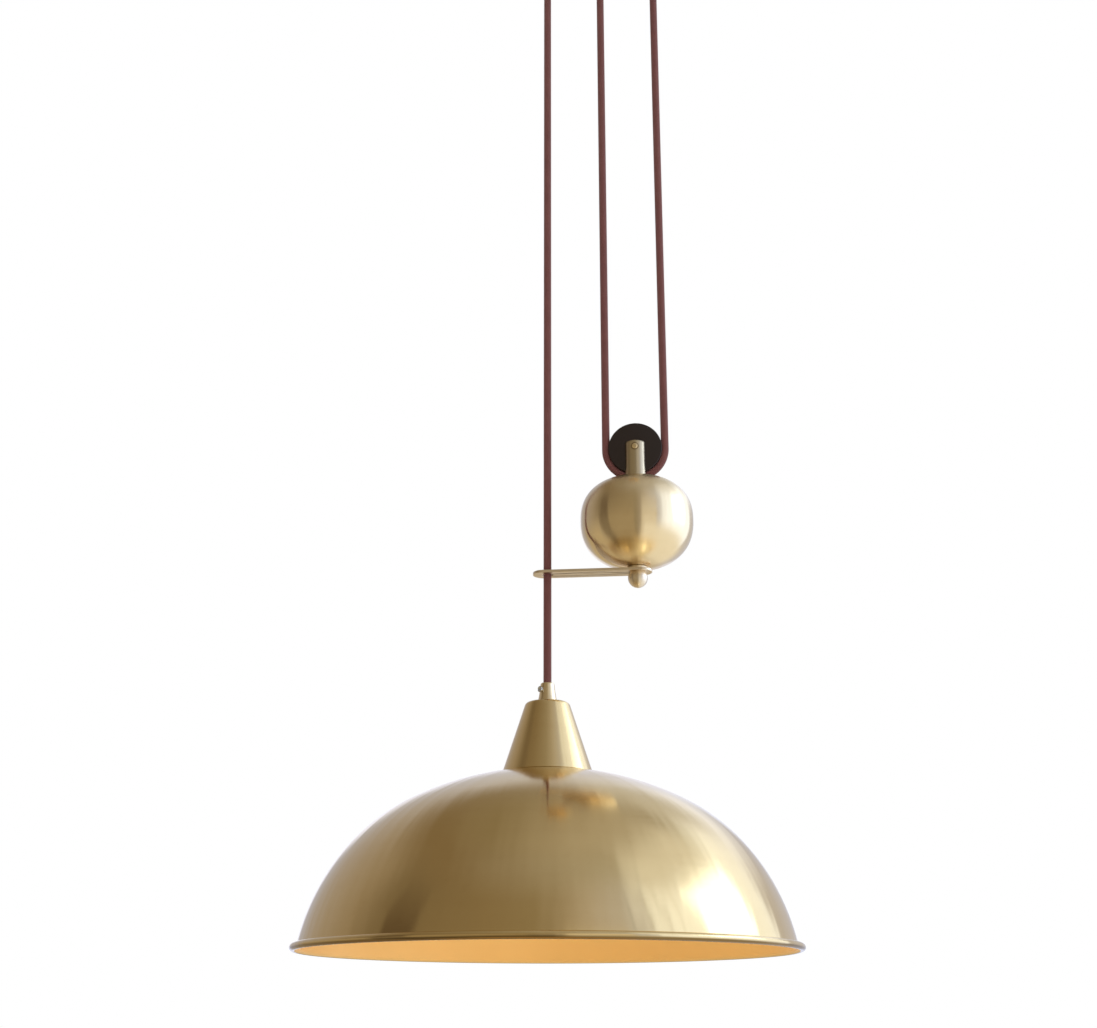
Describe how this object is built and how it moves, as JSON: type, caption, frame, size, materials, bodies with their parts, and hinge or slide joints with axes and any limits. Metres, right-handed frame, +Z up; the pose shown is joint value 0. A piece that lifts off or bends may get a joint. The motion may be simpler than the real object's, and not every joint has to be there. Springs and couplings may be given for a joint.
{
  "type": "rise and fall pendant",
  "caption": "Rise and fall pendant: spun brass dome shade on a fabric flex, balanced over sheaves by a round brass counterweight with a spreader arm.",
  "frame": {"origin": "centre of the face that lies against the ceiling, in the middle of the ceiling cup's mouth", "axes": "+Z up, square to the ceiling; the cords lie in the XZ plane, with the lamp towards -X and the counterweight towards +X"},
  "size_m": [0.4159, 0.416, 1.05],
  "materials": {
    "brass_shade": "satin",
    "brass_cone": "satin",
    "brass_weight": "satin",
    "brass_fittings": "satin",
    "brass_holder": "satin",
    "zinc_steel": "satin",
    "nickel": "polished",
    "iron": "matte",
    "sheave_black": "matte",
    "flex_braid": "matte",
    "wire_sleeve": "satin",
    "block_white": "satin",
    "porcelain": "gloss"
  },
  "bodies": {
    "ceiling": {"ceiling_bar": "zinc_steel", "canopy_studs": "zinc_steel", "stud_lock_nuts": "zinc_steel", "canopy_cap_nuts": "brass_fittings", "ceiling_cup": "brass_fittings", "load_plate": "zinc_steel", "terminal_block": "block_white", "terminal_screws": "zinc_steel", "earth_screw": "zinc_steel", "upper_fork": "brass_fittings", "upper_fork_washer": "zinc_steel", "upper_fork_nut": "zinc_steel", "upper_axle": "brass_fittings", "anchor_grip": "brass_fittings", "anchor_grip_tube": "zinc_steel", "anchor_grip_nut": "zinc_steel", "anchor_grip_screw": "zinc_steel", "flex_anchor_tail": "flex_braid", "ceiling_flex_cores": "wire_sleeve", "flex_upper_wrap": "flex_braid"},
    "upper_sheave": {"upper_sheave": "sheave_black"},
    "counterweight": {"lower_axle": "brass_fittings", "lower_fork": "brass_fittings", "weight_shell_upper": "brass_weight", "weight_shell_lower": "brass_weight", "weight_core": "iron", "tie_rod": "zinc_steel", "arm_washer": "brass_fittings", "spreader_arm": "brass_fittings", "finial_ball": "brass_fittings", "flex_lower_wrap": "flex_braid", "flex_weight_run": "flex_braid", "flex_anchor_run": "flex_braid"},
    "lower_sheave": {"lower_sheave": "sheave_black"},
    "lamp": {"flex_lamp_run": "flex_braid", "flex_lamp_tail": "flex_braid", "lamp_flex_cores": "wire_sleeve", "lamp_grip": "brass_fittings", "lamp_grip_screw": "zinc_steel", "threaded_tube": "zinc_steel", "tube_nut": "zinc_steel", "shade_cone": "brass_cone", "shade": "brass_shade", "shade_ring_upper": "brass_holder", "shade_ring_lower": "brass_holder", "lampholder_cap": "brass_holder", "lampholder_skirt": "brass_holder", "lampholder_insert": "porcelain", "lampholder_terminals": "zinc_steel", "socket_shell": "nickel", "centre_contact": "brass_holder"}
  },
  "joints": [
    {"name": "lamp_slide", "type": "slide", "parent": "ceiling", "child": "lamp", "axis": [0, 0, -1], "range_m": [-0.06, 0.66], "deforming": ["flex_lamp_run"]},
    {"name": "weight_slide", "type": "slide", "parent": "ceiling", "child": "counterweight", "axis": [0, 0, 1], "range_m": [-0.031, 0.331], "deforming": ["flex_weight_run", "flex_anchor_run"]},
    {"name": "upper_sheave_spin", "type": "hinge", "parent": "ceiling", "child": "upper_sheave", "pos_m": [-0.0265, 0, -0.085], "axis": [0, -1, 0], "range_deg": [-131, 1428]},
    {"name": "lower_sheave_spin", "type": "hinge", "parent": "counterweight", "child": "lower_sheave", "pos_m": [0.0265, 0, -0.6145], "axis": [0, 1, 0], "range_deg": [-66, 715]}
  ],
  "couplings": [
    {"joint": "weight_slide", "follows": "lamp_slide", "ratio": 0.5},
    {"joint": "upper_sheave_spin", "follows": "lamp_slide", "rad_per_m": 37.736},
    {"joint": "lower_sheave_spin", "follows": "lamp_slide", "rad_per_m": 18.868}
  ]
}
